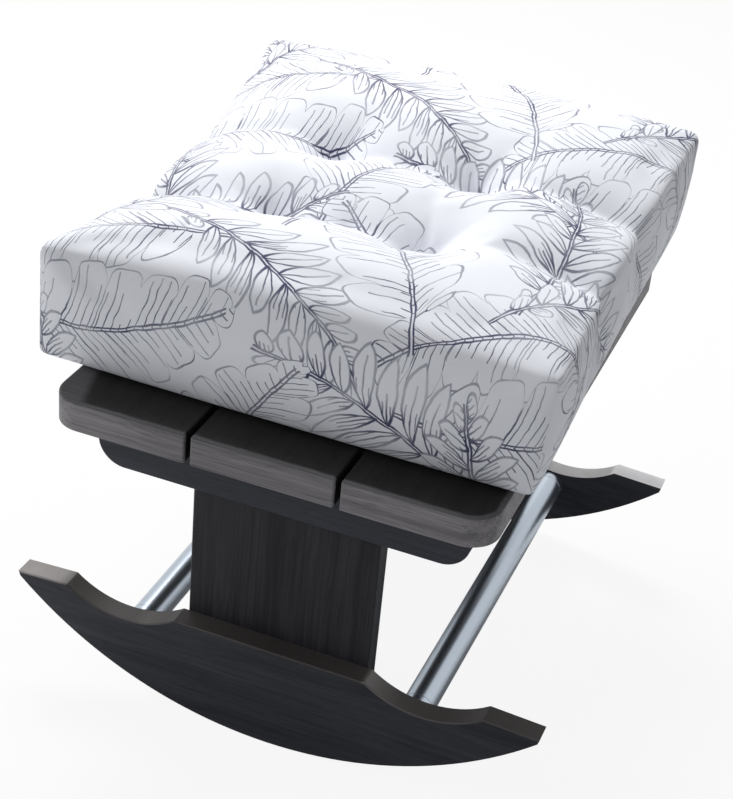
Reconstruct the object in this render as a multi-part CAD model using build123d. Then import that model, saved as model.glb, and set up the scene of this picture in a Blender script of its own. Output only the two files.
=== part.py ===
from build123d import *

import os
from math import cos, radians, sin, sqrt

# Rocking footstool: two rocker boards joined by two metal tubes, an upright board and a rail at
# each end, three seat slats and a loose tufted cushion.
# Millimetres. +X to the right along the rockers, +Y to the back, +Z up. The origin lies on the
# floor, under the middle of the frame.

# Rockers: one arc below; a flat, two coves and two tips above.
ROCKER_SPAN = 499.0  # from one rocker's outer face to the other's
ROCKER_THICKNESS = 23.0
ROCKER_ARC_RADIUS = 405.0
ROCKER_HEIGHT = 115.5  # floor to the flat middle of the top edge
ROCKER_FLAT_WIDTH = 203.0
COVE_WIDTH = 120.5
COVE_DEPTH = 19.8
TIP_DROP = 1.0  # the tip's outer corner lies this much below the flat
TIP_RISE = 2.0  # the tip facet's inner corner lies this much above the flat
TIP_END_HEIGHT = 5.4  # the blunt end that closes the tip
TIP_END_RAKE = 1.5  # how far the blunt end leans out
BOARD_EASE = 1.2  # easing of the boards' edges

# Uprights, one on the inner face of each rocker
UPRIGHT_WIDTH = 193.0
UPRIGHT_THICKNESS = 23.0
UPRIGHT_FOOT_HEIGHT = 30.0  # floor to the lower end

# Rails, lapped on the uprights' outer faces, right under the slats
RAIL_LENGTH = 375.0
RAIL_HEIGHT = 58.5
RAIL_THICKNESS = 23.0
RAIL_CORNER_RADIUS = 28.0

# Seat slats
SLAT_BOTTOM_HEIGHT = 336.0
SLAT_THICKNESS = 30.0
SLAT_OVERHANG = 45.0  # beyond the rockers' outer faces, at each end
SLAT_WIDTH = 140.0
SLAT_GAP = 6.0
SEAT_CORNER_RADIUS = 30.0
SEAT_EDGE_RADIUS = 3.0
SLAT_GAP_EASE = 2.0

# Tie tubes between the rockers, and the turned plugs that close them
TUBE_DIAMETER = 32.0
TUBE_WALL = 1.5
TUBE_SPACING = 297.0
TUBE_HEIGHT = 79.5
PLUG_COLLAR_LENGTH = 10.0
PLUG_COLLAR_EASE = 0.6
PLUG_SPIGOT_LENGTH = 25.0
PLUG_CLEARANCE = 0.05
PLUG_END_WALL = 10.0  # metal left beyond the stud's end
STUD_DIAMETER = 8.0
STUD_COVER = 5.0  # wood left beyond the stud's end

# Countersunk wood screws
SCREW_DIAMETER = 5.0
SCREW_HEAD_DIAMETER = 10.0
SCREW_POINT_LENGTH = 5.0
SCREW_RECESS_WIDTH = 4.0
SCREW_RECESS_DEPTH = 2.0
SCREW_CLEARANCE = 0.2  # around the shank in the board that it holds down
SCREW_TIP_COVER = 6.0  # wood left beyond a screw's point
ROCKER_SCREW_COLUMNS = 3
ROCKER_SCREW_MARGIN = 22.0  # from the edges of the rocker's and the upright's lap
RAIL_SCREW_COLUMNS = 2
RAIL_SCREW_MARGIN = 15.0  # from the edges of the rail's and the upright's lap
SLAT_SCREW_LENGTH = 50.0
SLAT_SCREW_SPACING = 50.0  # two screws to a slat and rail
SLAT_SCREW_ACCESS = 0.5  # around the head in the bore below it

# Cushion: a cotton case with four sewn tufts, lying loose on the slats and a little askew
CUSHION_WIDTH = 494.0
CUSHION_DEPTH = 586.0
CUSHION_EDGE_HEIGHT = 130.0
CUSHION_CROWN = 14.0  # rise of the middle above the edge
CROWN_REACH = 130.0  # from the rim's rounding to the level middle
CUSHION_RIM_RADIUS = 18.0
CUSHION_FOOT_RADIUS = 10.0
CURVE_STEPS = 4  # sections through each rounding
CUSHION_OFFSET_X = -18.0
CUSHION_OFFSET_Y = 52.5
CUSHION_YAW = 2.0  # degrees
CUSHION_REST_GAP = 0.3
CUSHION_CORNER_RADIUS = 22.0
LEFT_DRAW_IN = 34.0
RIGHT_DRAW_IN = 12.0
FRONT_DRAW_IN = 10.0
BACK_DRAW_IN = 10.0
TUFT_SPACING_X = 155.0
TUFT_SPACING_Y = 140.0
TUFT_OFFSET_X = -12.0
TUFT_OFFSET_Y = -14.0
TUFT_DEPTH = 62.0
TUFT_MOUTH_RADIUS = 78.0
UNDER_TUFT_DEPTH = 12.0
UNDER_TUFT_MOUTH_RADIUS = 40.0
TUFT_THROAT_RADIUS = 4.0
TUFT_MOUTH_RISE = 3.0  # the hollow's arc levels out this much above the cushion's surface
THREAD_DIAMETER = 2.0
STITCH_DIAMETER = 6.0
STITCH_THICKNESS = 1.0
COVER_THICKNESS = 2.0
FILLING_CLEARANCE = 0.3
FILLING_WALL = 4.0
ZIP_LENGTH = 400.0
ZIP_HEIGHT = 10.0

# Heights and places that follow from the sizes above
ROCKER_FACE_Y = ROCKER_SPAN / 2
LAP_FACE_Y = ROCKER_FACE_Y - ROCKER_THICKNESS
RAIL_BOTTOM_HEIGHT = SLAT_BOTTOM_HEIGHT - RAIL_HEIGHT
SEAT_HEIGHT = SLAT_BOTTOM_HEIGHT + SLAT_THICKNESS
SEAT_WIDTH = 3 * SLAT_WIDTH + 2 * SLAT_GAP
SLAT_LENGTH = ROCKER_SPAN + 2 * SLAT_OVERHANG
TUBE_BORE = TUBE_DIAMETER - 2 * TUBE_WALL
CUSHION_TOP = CUSHION_EDGE_HEIGHT + CUSHION_CROWN
ENDS = ("front", "back")
SIDES = {"left": -1, "right": 1}
UPWARDS = (Align.CENTER, Align.CENTER, Align.MIN)
DOWNWARDS = (Align.CENTER, Align.CENTER, Align.MAX)


def at_end(shape, end):
    """A shape made for the front end, turned round to the back for the back end."""
    return Rot(Z=180) * shape if end == "back" else shape


# ---- Screws ----


def screw_body(length):
    """A countersunk head, a shank and a point, from the head's top at the origin along +Z."""
    shank = SCREW_DIAMETER / 2
    head = SCREW_HEAD_DIAMETER / 2
    neck = (shank, head - shank)
    shoulder = (shank, length - SCREW_POINT_LENGTH)
    outline = Polyline((0, 0), (head, 0), neck, shoulder, (0, length), close=True)
    return revolve(Plane.XZ * make_face(outline), Axis.Z)


def screw(length):
    """A screw with a six-sided recess in its head."""
    recess = extrude(RegularPolygon(SCREW_RECESS_WIDTH / 2, 6), SCREW_RECESS_DEPTH)
    return screw_body(length) - recess


def screw_bore(length, held):
    """The room for a screw: clear of the shank through the held board, tight beyond it."""
    radius = SCREW_DIAMETER / 2 + SCREW_CLEARANCE
    return screw_body(length) + Cylinder(radius, held, align=UPWARDS)


def lap_screw_length(board):
    """A screw through the upright that stops short of the outer face of the board behind."""
    return UPRIGHT_THICKNESS + board - SCREW_TIP_COVER


def lap_screw_places(low, high, margin, columns):
    """Places in a lap on the front upright's inner face, pointing to the front."""
    reach = UPRIGHT_WIDTH / 2 - margin
    inner_face = -LAP_FACE_Y + UPRIGHT_THICKNESS
    places = []
    for column in range(columns):
        x = -reach + 2 * reach * column / (columns - 1)
        for z in (low + margin, high - margin):
            places.append(Pos(x, inner_face, z) * Rot(X=90))
    return places


def rocker_screw_places():
    low = UPRIGHT_FOOT_HEIGHT
    return lap_screw_places(low, ROCKER_HEIGHT, ROCKER_SCREW_MARGIN, ROCKER_SCREW_COLUMNS)


def rail_screw_places():
    low = RAIL_BOTTOM_HEIGHT
    return lap_screw_places(low, SLAT_BOTTOM_HEIGHT, RAIL_SCREW_MARGIN, RAIL_SCREW_COLUMNS)


def slat_centres():
    pitch = SLAT_WIDTH + SLAT_GAP
    return {"left": -pitch, "middle": 0.0, "right": pitch}


def slat_screw_places():
    """Places in the middle of the front rail's thickness, pointing up into the slats."""
    y = -LAP_FACE_Y - RAIL_THICKNESS / 2
    z = SEAT_HEIGHT - SCREW_TIP_COVER - SLAT_SCREW_LENGTH
    places = []
    for centre in slat_centres().values():
        # the outer slats' screws move in with the rail's end
        limit = RAIL_LENGTH / 2 - RAIL_SCREW_MARGIN - SLAT_SCREW_SPACING / 2
        middle = max(-limit, min(limit, centre))
        for side in (-1, 1):
            places.append(Pos(middle + side * SLAT_SCREW_SPACING / 2, y, z))
    return places


def group(places, shape):
    """Identical fasteners: one separate solid at each place."""
    return Compound([place * shape for place in places])


def cut_all(body, places, shape):
    for place in places:
        body -= place * shape
    return body


def rocker_screw_bore():
    return screw_bore(lap_screw_length(ROCKER_THICKNESS), UPRIGHT_THICKNESS)


def rail_screw_bore():
    return screw_bore(lap_screw_length(RAIL_THICKNESS), UPRIGHT_THICKNESS)


def slat_screw_bore():
    held = SLAT_BOTTOM_HEIGHT - (SEAT_HEIGHT - SCREW_TIP_COVER - SLAT_SCREW_LENGTH)
    return screw_bore(SLAT_SCREW_LENGTH, held)


# ---- Wooden frame ----


def rocker():
    """The front rocker, cut from one board."""
    flat = ROCKER_FLAT_WIDTH / 2
    cove_end = flat + COVE_WIDTH
    arc_end_z = ROCKER_HEIGHT - TIP_DROP - TIP_END_HEIGHT
    arc_end_x = sqrt(ROCKER_ARC_RADIUS**2 - (ROCKER_ARC_RADIUS - arc_end_z) ** 2)
    tip = (arc_end_x + TIP_END_RAKE, ROCKER_HEIGHT - TIP_DROP)
    cove_top = (cove_end, ROCKER_HEIGHT + TIP_RISE)
    cove_foot = (flat, ROCKER_HEIGHT)
    half = [
        Line((arc_end_x, arc_end_z), tip),
        Line(tip, cove_top),
        SagittaArc(cove_top, cove_foot, COVE_DEPTH),
    ]
    edges = [ThreePointArc((-arc_end_x, arc_end_z), (0, 0), (arc_end_x, arc_end_z))]
    edges += half
    edges += [edge.mirror(Plane.YZ) for edge in half]
    edges.append(Line((-flat, ROCKER_HEIGHT), (flat, ROCKER_HEIGHT)))
    profile = Plane.XZ * make_face(edges)
    board = Pos(Y=-LAP_FACE_Y) * extrude(profile, ROCKER_THICKNESS)
    outer = board.faces().sort_by(Axis.Y)[0]
    board = chamfer(outer.edges(), BOARD_EASE)
    board = cut_all(board, rocker_screw_places(), rocker_screw_bore())
    return cut_all(board, stud_places(), stud())


def upright():
    """The front upright, on the rocker's and the rail's inner faces."""
    height = SLAT_BOTTOM_HEIGHT - UPRIGHT_FOOT_HEIGHT
    board = Pos(0, -LAP_FACE_Y + UPRIGHT_THICKNESS / 2, UPRIGHT_FOOT_HEIGHT + height / 2) * Box(
        UPRIGHT_WIDTH, UPRIGHT_THICKNESS, height
    )
    board = chamfer(board.edges().filter_by(Axis.Z), BOARD_EASE)
    board = cut_all(board, rocker_screw_places(), rocker_screw_bore())
    return cut_all(board, rail_screw_places(), rail_screw_bore())


def rail():
    """The front rail, with rounded lower corners and bores for the slat screws from below."""
    board = Pos(0, -LAP_FACE_Y - RAIL_THICKNESS / 2, RAIL_BOTTOM_HEIGHT + RAIL_HEIGHT / 2) * Box(
        RAIL_LENGTH, RAIL_THICKNESS, RAIL_HEIGHT
    )
    lower_corners = board.edges().filter_by(Axis.Y).group_by(Axis.Z)[0]
    board = fillet(lower_corners, RAIL_CORNER_RADIUS)
    outer = board.faces().sort_by(Axis.Y)[0]
    board = chamfer(outer.edges(), BOARD_EASE)
    board = cut_all(board, rail_screw_places(), rail_screw_bore())
    access = Cylinder(SCREW_HEAD_DIAMETER / 2 + SLAT_SCREW_ACCESS, RAIL_HEIGHT, align=DOWNWARDS)
    return cut_all(board, slat_screw_places(), slat_screw_bore() + access)


def seat_blank():
    """The seat as one board: rounded corners in plan and a rounded upper edge."""
    blank = extrude(RectangleRounded(SEAT_WIDTH, SLAT_LENGTH, SEAT_CORNER_RADIUS), SLAT_THICKNESS)
    blank = Pos(Z=SLAT_BOTTOM_HEIGHT) * blank
    top = blank.faces().sort_by(Axis.Z)[-1]
    return fillet(top.edges(), SEAT_EDGE_RADIUS)


def slat(blank, centre):
    """One slat of the seat, with its gap edges eased."""
    strip = Pos(centre, 0, SLAT_BOTTOM_HEIGHT) * Box(
        SLAT_WIDTH, SLAT_LENGTH, SLAT_THICKNESS, align=UPWARDS
    )
    board = blank & strip
    for side in (-1, 1):
        face = board.faces().sort_by(Axis.X)[0 if side < 0 else -1]
        if abs(face.center().X) < SEAT_WIDTH / 2 - SLAT_WIDTH / 2:
            eased = [edge for edge in face.edges() if edge.center().Z > SLAT_BOTTOM_HEIGHT + SLAT_GAP_EASE]
            board = fillet(eased, SLAT_GAP_EASE)
    for end in ENDS:
        places = [at_end(place, end) for place in slat_screw_places()]
        board = cut_all(board, places, slat_screw_bore())
    return board


# ---- Tie tubes ----


def tube_axis(side):
    return Pos(SIDES[side] * TUBE_SPACING / 2, 0, TUBE_HEIGHT)


def tube():
    """A tube along Y between the plugs' collars, centred on its axis."""
    length = 2 * (LAP_FACE_Y - PLUG_COLLAR_LENGTH)
    return Rot(X=90) * (Cylinder(TUBE_DIAMETER / 2, length) - Cylinder(TUBE_BORE / 2, length))


def plug():
    """A plug at the front end of a tube: collar on the rocker's inner face, spigot in the tube."""
    outer = TUBE_DIAMETER / 2
    spigot = TUBE_BORE / 2 - PLUG_CLEARANCE
    start = -LAP_FACE_Y
    shoulder = start + PLUG_COLLAR_LENGTH
    outline = Polyline(
        (0, start),
        (outer, start),
        (outer, shoulder - PLUG_COLLAR_EASE),
        (outer - PLUG_COLLAR_EASE, shoulder),
        (spigot, shoulder),
        (spigot, shoulder + PLUG_SPIGOT_LENGTH),
        (0, shoulder + PLUG_SPIGOT_LENGTH),
        close=True,
    )
    body = revolve(make_face(outline), Axis.Y)
    return body - stud()


def stud():
    """A stud on a tube's axis, from inside the front rocker into the plug."""
    start = -ROCKER_FACE_Y + STUD_COVER
    end = -LAP_FACE_Y + PLUG_COLLAR_LENGTH + PLUG_SPIGOT_LENGTH - PLUG_END_WALL
    return Pos(Y=(start + end) / 2) * Rot(X=90) * Cylinder(STUD_DIAMETER / 2, end - start)


def stud_places():
    return [tube_axis(side) for side in SIDES]


# ---- Cushion, made about its own middle with its underside at z = 0 ----


def cushion_section(inset, height):
    """The cushion's outline in plan: four sides drawn in as arcs, and four rounded corners."""
    x = CUSHION_WIDTH / 2 - inset
    y = CUSHION_DEPTH / 2 - inset
    sides = [
        ThreePointArc((-x, -y), (0, -y + FRONT_DRAW_IN), (x, -y)),
        ThreePointArc((x, -y), (x - RIGHT_DRAW_IN, 0), (x, y)),
        ThreePointArc((x, y), (0, y - BACK_DRAW_IN), (-x, y)),
        ThreePointArc((-x, y), (-x + LEFT_DRAW_IN, 0), (-x, -y)),
    ]
    face = make_face(sides)
    return Pos(Z=height) * fillet(face.vertices(), CUSHION_CORNER_RADIUS)


def tuft_funnel(depth, mouth, throat):
    """The hollow of a tuft below z = 0: an arc from its narrow floor up past a level mouth."""
    reach = mouth - throat
    drop = depth + TUFT_MOUTH_RISE
    radius = (reach**2 + drop**2) / (2 * drop)
    middle_z = TUFT_MOUTH_RISE - radius + sqrt(radius**2 - (reach / 2) ** 2)
    outline = [
        Line((0, depth), (0, -depth)),
        Line((0, -depth), (throat, -depth)),
        ThreePointArc((throat, -depth), (mouth - reach / 2, middle_z), (mouth, TUFT_MOUTH_RISE)),
        Line((mouth, TUFT_MOUTH_RISE), (mouth, depth)),
        Line((mouth, depth), (0, depth)),
    ]
    return revolve(Plane.XZ * make_face(outline), Axis.Z)


def tuft_places():
    places = []
    for column in (-1, 1):
        for row in (-1, 1):
            x = TUFT_OFFSET_X + column * TUFT_SPACING_X / 2
            y = TUFT_OFFSET_Y + row * TUFT_SPACING_Y / 2
            places.append(Pos(x, y, 0))
    return places


def cushion_levels():
    """Inset and height of each section: foot rounding, upright side, rim rounding and crown."""
    turns = [radians(90 * step / CURVE_STEPS) for step in range(CURVE_STEPS + 1)]
    foot = CUSHION_FOOT_RADIUS
    rim = CUSHION_RIM_RADIUS
    shoulder = CUSHION_EDGE_HEIGHT - rim
    levels = [(foot * (1 - sin(turn)), foot * (1 - cos(turn))) for turn in turns]
    levels += [(rim * (1 - cos(turn)), shoulder + rim * sin(turn)) for turn in turns]
    for step in range(1, CURVE_STEPS + 1):
        share = step / CURVE_STEPS
        rise = CUSHION_CROWN * (1 - (1 - share) ** 2)
        levels.append((rim + CROWN_REACH * share, CUSHION_EDGE_HEIGHT + rise))
    return levels


def cushion_form(inset):
    """The crowned and tufted form, drawn in by an inset all round."""
    squeeze = (CUSHION_TOP - 2 * inset) / CUSHION_TOP
    sections = [cushion_section(draw + inset, inset + height * squeeze) for draw, height in cushion_levels()]
    form = loft(sections, ruled=True)
    throat = TUFT_THROAT_RADIUS + inset
    upper = tuft_funnel(TUFT_DEPTH, TUFT_MOUTH_RADIUS, throat)
    lower = Rot(X=180) * tuft_funnel(UNDER_TUFT_DEPTH, UNDER_TUFT_MOUTH_RADIUS, throat)
    for place in tuft_places():
        form -= place * Pos(Z=CUSHION_TOP - inset) * upper
        form -= place * Pos(Z=inset) * lower
    return form


def thread():
    """A tuft's thread from the upper pit's floor to the lower one, with a stitch at each end."""
    low = UNDER_TUFT_DEPTH
    high = CUSHION_TOP - TUFT_DEPTH
    strand = Pos(Z=low) * Cylinder(THREAD_DIAMETER / 2, high - low, align=UPWARDS)
    upper_stitch = Pos(Z=high) * Cylinder(STITCH_DIAMETER / 2, STITCH_THICKNESS, align=UPWARDS)
    lower_stitch = Pos(Z=low) * Cylinder(STITCH_DIAMETER / 2, STITCH_THICKNESS, align=DOWNWARDS)
    return strand + upper_stitch + lower_stitch


def cushion_nodes():
    """The cover, its zip at the back, the filling and the tuft threads, laid on the seat."""
    outer = cushion_form(0.0)
    inner = cushion_form(COVER_THICKNESS)
    filling_outer = cushion_form(COVER_THICKNESS + FILLING_CLEARANCE)
    filling_inner = cushion_form(COVER_THICKNESS + FILLING_CLEARANCE + FILLING_WALL)
    shell = outer - inner
    filling = filling_outer - filling_inner
    for place in tuft_places():
        shell -= place * thread()
        filling -= place * thread()
    zip_room = Pos(0, CUSHION_DEPTH / 2, CUSHION_EDGE_HEIGHT / 2) * Box(
        ZIP_LENGTH, 2 * CUSHION_CORNER_RADIUS + 2 * BACK_DRAW_IN, ZIP_HEIGHT
    )
    on_seat = Pos(CUSHION_OFFSET_X, CUSHION_OFFSET_Y, SEAT_HEIGHT + CUSHION_REST_GAP) * Rot(Z=CUSHION_YAW)
    return {
        "cushion_cover": on_seat * (shell - zip_room),
        "cushion_zip": on_seat * (shell & zip_room),
        "cushion_filling": on_seat * filling,
        "tuft_threads": on_seat * group(tuft_places(), thread()),
    }


# ---- The whole stool ----


def frame_nodes():
    nodes = {}
    blank = seat_blank()
    for end in ENDS:
        nodes[f"{end}_rocker"] = at_end(rocker(), end)
        nodes[f"{end}_upright"] = at_end(upright(), end)
        nodes[f"{end}_seat_rail"] = at_end(rail(), end)
        rocker_screws = group(rocker_screw_places(), screw(lap_screw_length(ROCKER_THICKNESS)))
        nodes[f"{end}_rocker_screws"] = at_end(rocker_screws, end)
        rail_screws = group(rail_screw_places(), screw(lap_screw_length(RAIL_THICKNESS)))
        nodes[f"{end}_rail_screws"] = at_end(rail_screws, end)
        nodes[f"{end}_slat_screws"] = at_end(group(slat_screw_places(), screw(SLAT_SCREW_LENGTH)), end)
    for name, centre in slat_centres().items():
        nodes[f"{name}_seat_slat"] = slat(blank, centre)
    studs = []
    for side in SIDES:
        nodes[f"{side}_tie_tube"] = tube_axis(side) * tube()
        for end in ENDS:
            nodes[f"{side}_{end}_tube_plug"] = tube_axis(side) * at_end(plug(), end)
            studs.append(tube_axis(side) * at_end(stud(), end))
    nodes["tube_studs"] = Compound(studs)
    return nodes


def main():
    os.makedirs("parts", exist_ok=True)
    nodes = frame_nodes()
    nodes.update(cushion_nodes())
    for name, shape in nodes.items():
        export_step(shape, f"parts/{name}.step")
        print(name, round(shape.volume), shape.is_valid)


main()
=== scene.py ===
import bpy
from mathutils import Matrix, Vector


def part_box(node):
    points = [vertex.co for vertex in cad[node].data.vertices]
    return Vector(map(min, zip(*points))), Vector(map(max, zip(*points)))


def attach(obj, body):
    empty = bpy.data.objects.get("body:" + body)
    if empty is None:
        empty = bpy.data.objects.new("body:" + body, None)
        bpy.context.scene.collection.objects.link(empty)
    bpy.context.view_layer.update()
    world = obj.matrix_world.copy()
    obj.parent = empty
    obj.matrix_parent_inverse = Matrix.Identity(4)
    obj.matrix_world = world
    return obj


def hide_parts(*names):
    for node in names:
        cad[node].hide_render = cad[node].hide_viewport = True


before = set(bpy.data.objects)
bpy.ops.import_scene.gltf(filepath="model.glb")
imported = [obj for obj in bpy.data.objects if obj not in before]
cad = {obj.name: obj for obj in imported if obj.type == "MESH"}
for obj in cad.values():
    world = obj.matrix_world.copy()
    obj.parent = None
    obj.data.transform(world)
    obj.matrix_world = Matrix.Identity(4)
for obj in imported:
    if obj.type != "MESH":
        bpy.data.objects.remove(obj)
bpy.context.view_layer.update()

from math import pi, radians

import bmesh
import bpy
import numpy as np
from mathutils import Matrix, Quaternion, Vector
from mathutils.bvhtree import BVHTree

scene = bpy.context.scene

# ---- Camera ----
# A hand-held picture from the front, a little to the right and well above the stool, tilted a
# few degrees. The place, the aim and the lens were fitted to the edges of the frame.

camera_place = Vector((0.511, -1.5135, 1.227))
camera_aim = Vector((-0.00268, -0.0195, 0.27983))
camera_roll = radians(5.58)
camera_lens, sensor_width = 87.9, 36.0  # millimetres, as on a camera

camera = bpy.data.objects.new("camera", bpy.data.cameras.new("camera"))
camera.data.sensor_fit = "HORIZONTAL"
camera.data.sensor_width = sensor_width
camera.data.lens = camera_lens
camera.data.clip_start = 0.05
camera.rotation_mode = "QUATERNION"
camera.location = camera_place
aimed = (camera_aim - camera_place).to_track_quat("-Z", "Y")
camera.rotation_quaternion = aimed @ Quaternion((0, 0, 1), camera_roll)
scene.collection.objects.link(camera)
scene.camera = camera

# ---- Floor and light ----
# A plain white studio floor that runs out of sight, one large soft lamp high at the back left
# and a smaller one from the left front. The floor keeps the stool's soft shadow.


def feed(tree, socket, term):
    """Sets a socket to a value, or links another node's output to it."""
    if isinstance(term, bpy.types.NodeSocket):
        tree.links.new(term, socket)
    else:
        socket.default_value = term


def calc(tree, operation, *terms, clamp=False):
    """A Math node; a term is a number or another node's output."""
    made = tree.nodes.new("ShaderNodeMath")
    made.operation = operation
    made.use_clamp = clamp
    for socket, term in zip(made.inputs, terms):
        feed(tree, socket, term)
    return made.outputs[0]


def new_material(name):
    """A material with its node tree and its Principled shader."""
    material = bpy.data.materials.new(name)
    material.use_nodes = True
    tree = material.node_tree
    tree.nodes.clear()
    shader = tree.nodes.new("ShaderNodeBsdfPrincipled")
    output = tree.nodes.new("ShaderNodeOutputMaterial")
    tree.links.new(shader.outputs["BSDF"], output.inputs["Surface"])
    return material, tree, shader


def deselect():
    """Leaves nothing selected."""
    for thing in list(bpy.context.selected_objects):
        thing.select_set(False)


floor_size = 60.0
floor_white = 0.86
floor_glow = 0.9  # share of plain white in what the camera sees of the floor

deselect()
bpy.ops.mesh.primitive_grid_add(x_subdivisions=6, y_subdivisions=6, size=floor_size)
floor = bpy.context.object
floor.name = "studio_floor"
floor_material, tree, shader = new_material("studio_floor_paint")
matt = tree.nodes.new("ShaderNodeBsdfDiffuse")
matt.inputs["Color"].default_value = (floor_white, floor_white, floor_white, 1)
glow = tree.nodes.new("ShaderNodeEmission")
seen = tree.nodes.new("ShaderNodeLightPath").outputs
both = tree.nodes.new("ShaderNodeMixShader")
share = calc(tree, "MULTIPLY", seen["Is Camera Ray"], floor_glow)
for socket, term in zip(both.inputs, (share, matt.outputs[0], glow.outputs[0])):
    feed(tree, socket, term)
feed(tree, shader.outputs["BSDF"].links[0].to_socket, both.outputs[0])
tree.nodes.remove(shader)
floor.data.materials.append(floor_material)

sky_seen, sky_cast = 1.0, 0.30  # how bright the sky is to look at, and how much light it casts

world = bpy.data.worlds.new("studio")
scene.world = world
world.use_nodes = True
tree = world.node_tree
tree.nodes.clear()
seen = tree.nodes.new("ShaderNodeLightPath").outputs
direct = seen["Is Camera Ray"]
for ray in ("Is Glossy Ray", "Is Transmission Ray"):
    direct = calc(tree, "MAXIMUM", direct, seen[ray])
sky = tree.nodes.new("ShaderNodeBackground")
sky.inputs["Color"].default_value = (0.97, 0.985, 1.0, 1)
feed(tree, sky.inputs["Strength"], calc(tree, "MULTIPLY_ADD", direct, sky_seen - sky_cast, sky_cast))
world_output = tree.nodes.new("ShaderNodeOutputWorld")
tree.links.new(sky.outputs[0], world_output.inputs["Surface"])

for name, place, aim, size, power in (
    ("overhead_lamp", (-0.9, 1.3, 2.5), (0.0, 0.0, 0.3), 1.2, 74.0),
    ("front_lamp", (-2.0, -1.6, 1.5), (0.0, 0.0, 0.25), 1.0, 13.0),
):
    lamp = bpy.data.objects.new(name, bpy.data.lights.new(name, "AREA"))
    lamp.data.size = size
    lamp.data.energy = power
    lamp.location = place
    lamp.rotation_mode = "QUATERNION"
    lamp.rotation_quaternion = (Vector(aim) - Vector(place)).to_track_quat("-Z", "Y")
    scene.collection.objects.link(lamp)

scene.view_settings.view_transform = "Standard"

# ---- Boards ----
# Rockers, uprights, rails and seat slats of fine-grained board, stained nearly black and
# sealed with a satin varnish. The grain follows each board; a lighter seat border and pale rocker edges are
# painted light.


def new_group(name, inputs, outputs):
    """A shader node group with named sockets, each a (name, kind, value)."""
    group = bpy.data.node_groups.new(name, "ShaderNodeTree")
    sockets = group.interface
    for label, kind, value in inputs:
        socket = sockets.new_socket(label, in_out="INPUT", socket_type=f"NodeSocket{kind}")
        if value is not None:
            socket.default_value = value
    for label, kind in outputs:
        sockets.new_socket(label, in_out="OUTPUT", socket_type=f"NodeSocket{kind}")
    given = group.nodes.new("NodeGroupInput").outputs
    return group, given, group.nodes.new("NodeGroupOutput").inputs


def place_group(tree, group, **values):
    """A node of the group, its inputs set from values or other nodes' outputs."""
    made = tree.nodes.new("ShaderNodeGroup")
    made.node_tree = group
    for label, value in values.items():
        feed(tree, made.inputs[label], value)
    return made.outputs


def chain(operation):
    """A function that joins two or more terms by one kind of Math node."""

    def joined(tree, *terms, clamp=False):
        made = terms[0]
        for count, term in enumerate(terms[1:], 2):
            made = calc(tree, operation, made, term, clamp=clamp and count == len(terms))
        return made

    return joined


times, plus, minus = chain("MULTIPLY"), chain("ADD"), chain("SUBTRACT")


def size_of(tree, term):
    """A number without its sign."""
    return calc(tree, "ABSOLUTE", term)


def over(tree, term, limit):
    """1 where the term is over the limit."""
    return calc(tree, "GREATER_THAN", term, limit)


def below(tree, term, limit):
    """1 where the term is below the limit."""
    return calc(tree, "LESS_THAN", term, limit)


def scaled(tree, term, factor, added):
    """A term times a factor, plus a third one, in one node."""
    return calc(tree, "MULTIPLY_ADD", term, factor, added)


def vector_calc(tree, operation, *terms):
    """A Vector Math node; a term is a vector or another node's output."""
    made = tree.nodes.new("ShaderNodeVectorMath")
    made.operation = operation
    for socket, term in zip(made.inputs, terms):
        feed(tree, socket, term)
    return made.outputs[0]


def vector_of(tree, *terms):
    """A vector from its parts."""
    made = tree.nodes.new("ShaderNodeCombineXYZ")
    for socket, term in zip(made.inputs, terms):
        feed(tree, socket, term)
    return made.outputs[0]


def parts_of(tree, vector):
    """A vector's x, y and z."""
    made = tree.nodes.new("ShaderNodeSeparateXYZ")
    tree.links.new(vector, made.inputs[0])
    return made.outputs


def place_in(tree):
    """The place of each point in the piece's own axes, and its normal."""
    made = tree.nodes.new("ShaderNodeTexCoord").outputs
    return made["Object"], made["Normal"]


def noise(tree, vector, scale, detail=2.0, roughness=0.5, stretch=None):
    """A Noise node's value, on a vector stretched by a factor along each axis."""
    made = tree.nodes.new("ShaderNodeTexNoise")
    made.inputs["Scale"].default_value = scale
    made.inputs["Detail"].default_value = detail
    made.inputs["Roughness"].default_value = roughness
    if stretch:
        vector = vector_calc(tree, "MULTIPLY", vector, stretch)
    tree.links.new(vector, made.inputs["Vector"])
    return made.outputs["Fac"]


def ramp(tree, value, low, high):
    """0 below low, 1 above high, smooth between; low and high may be outputs."""
    made = tree.nodes.new("ShaderNodeMapRange")
    made.interpolation_type = "SMOOTHSTEP"
    for label, term in (("Value", value), ("From Min", low), ("From Max", high)):
        feed(tree, made.inputs[label], term)
    return made.outputs["Result"]


def tint(tree, share, first, second):
    """A colour mixed from two, by a share that is a number or an output."""
    made = tree.nodes.new("ShaderNodeMix")
    made.data_type = "RGBA"
    for number, term in ((0, share), (6, first), (7, second)):
        feed(tree, made.inputs[number], (*term, 1) if isinstance(term, tuple) else term)
    return made.outputs[2]


def relief(tree, shader, height, strength, depth):
    """Fine relief on a surface, from a height, as deep as is said in metres."""
    bump = tree.nodes.new("ShaderNodeBump")
    bump.inputs["Strength"].default_value = strength
    bump.inputs["Distance"].default_value = depth
    tree.links.new(height, bump.inputs["Height"])
    tree.links.new(bump.outputs[0], shader.inputs["Normal"])


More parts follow.
